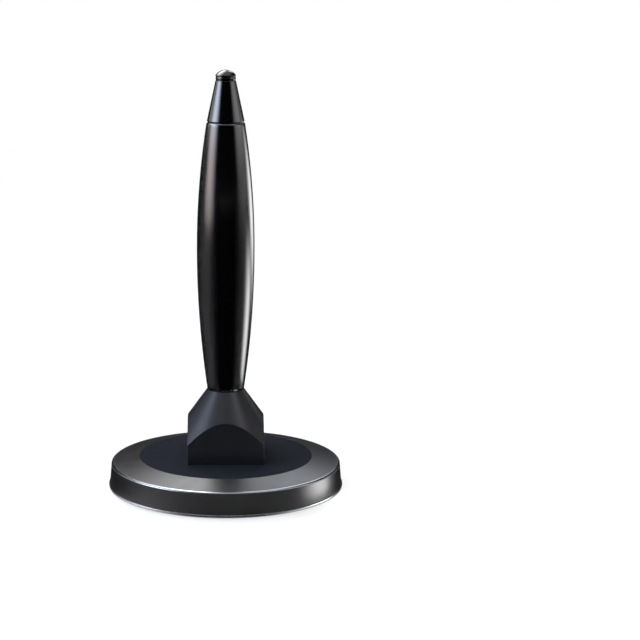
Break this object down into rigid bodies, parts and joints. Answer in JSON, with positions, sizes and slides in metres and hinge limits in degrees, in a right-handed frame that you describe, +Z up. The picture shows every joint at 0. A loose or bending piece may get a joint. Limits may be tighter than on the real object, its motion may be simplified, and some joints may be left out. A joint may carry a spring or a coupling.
{
  "type": "omnidirectional tv antenna",
  "caption": "Table-top omnidirectional TV antenna: gloss black barrel mast with a conical nose on a square pedestal and a round magnetic base, with a rear cable inlet.",
  "frame": {"origin": "middle of the foot pad's underside, where the antenna stands on a surface", "axes": "+Z up along the mast, +Y to the rear where the lead enters, -Y the front face of the pedestal"},
  "size_m": [0.07, 0.07, 0.124],
  "materials": {
    "mast_gloss": "high-gloss black injection-moulded ABS",
    "base_gloss": "gloss black ABS with a fine matte disc on top",
    "pedestal_satin": "satin black ABS",
    "cover_plastic": "spark-eroded matte black ABS",
    "pad_rubber": "matte black rubber",
    "gland_rubber": "soft black moulded rubber",
    "seam_nickel": "black nickel plating, fine turned",
    "zinc_steel": "bright zinc plating",
    "turned_brass": "turned brass",
    "ferrite": "sintered and ground ferrite",
    "circuit_board": "green solder resist on glass-epoxy laminate",
    "copper_track": "etched copper foil"
  },
  "bodies": {
    "root": {"base_pad": "pad_rubber", "bottom_cover": "cover_plastic", "cover_screws": "zinc_steel", "ring_magnet": "ferrite", "ground_plate": "zinc_steel", "ground_lug": "turned_brass", "base_shell": "base_gloss", "pedestal_screws": "zinc_steel", "pedestal": "pedestal_satin", "cable_gland": "gland_rubber", "mast_washer": "zinc_steel", "mast_nut": "turned_brass", "mast_shell": "mast_gloss", "feed_pin": "turned_brass", "radiator_board": "circuit_board", "radiator_track": "copper_track", "seam_ring": "seam_nickel", "nose_cone": "mast_gloss", "tip_button": "mast_gloss"}
  },
  "joints": []
}
